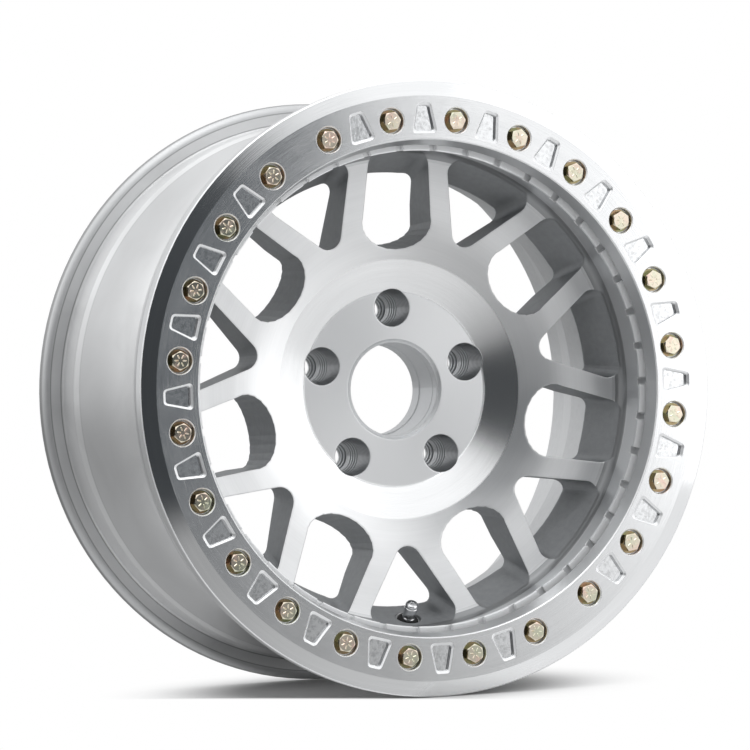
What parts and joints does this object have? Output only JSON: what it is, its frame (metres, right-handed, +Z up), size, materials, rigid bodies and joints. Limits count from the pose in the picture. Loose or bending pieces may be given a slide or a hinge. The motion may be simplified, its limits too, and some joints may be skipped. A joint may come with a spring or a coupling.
{
  "type": "beadlock wheel",
  "caption": "Off-road car wheel with a slotted dish, a bolt-on ring that clamps the outer tyre bead, and a tyre valve.",
  "frame": {"origin": "centre of the hub's mounting face, which is also the rim's centre plane", "axes": "+Y along the axle line towards the vehicle, street side towards -Y, +Z up with the valve at the bottom"},
  "size_m": [0.4711, 0.2527, 0.4712],
  "materials": {
    "machined_casting": "machined, satin inside the windows",
    "machined_ring": "machined with bright bevels",
    "zinc_bolts": "yellow zinc plating",
    "zinc_washers": "yellow-green zinc plating",
    "black_rubber": "matt",
    "plated_valve": "bright plating",
    "valve_brass": "turned",
    "spring_steel": "plain"
  },
  "bodies": {
    "wheel": {"wheel_casting": "machined_casting", "beadlock_ring": "machined_ring", "ring_bolts": "zinc_bolts", "ring_washers": "zinc_washers", "valve_grommet": "black_rubber", "valve_stem": "plated_valve", "valve_nut": "plated_valve", "valve_core": "valve_brass", "core_spring": "spring_steel"},
    "core_pin": {"valve_pin": "valve_brass"},
    "cap": {"valve_cap": "plated_valve", "cap_seal": "black_rubber"}
  },
  "joints": [
    {"name": "cap_off", "type": "slide", "parent": "wheel", "child": "cap", "axis": [0, -0.6157, 0.788], "range_m": [0, 0.014]},
    {"name": "core_press", "type": "slide", "parent": "wheel", "child": "core_pin", "axis": [0, 0.6157, -0.788], "range_m": [0, 0.0015], "stiffness_N_per_m": 600, "springref_m": -0.0005}
  ]
}
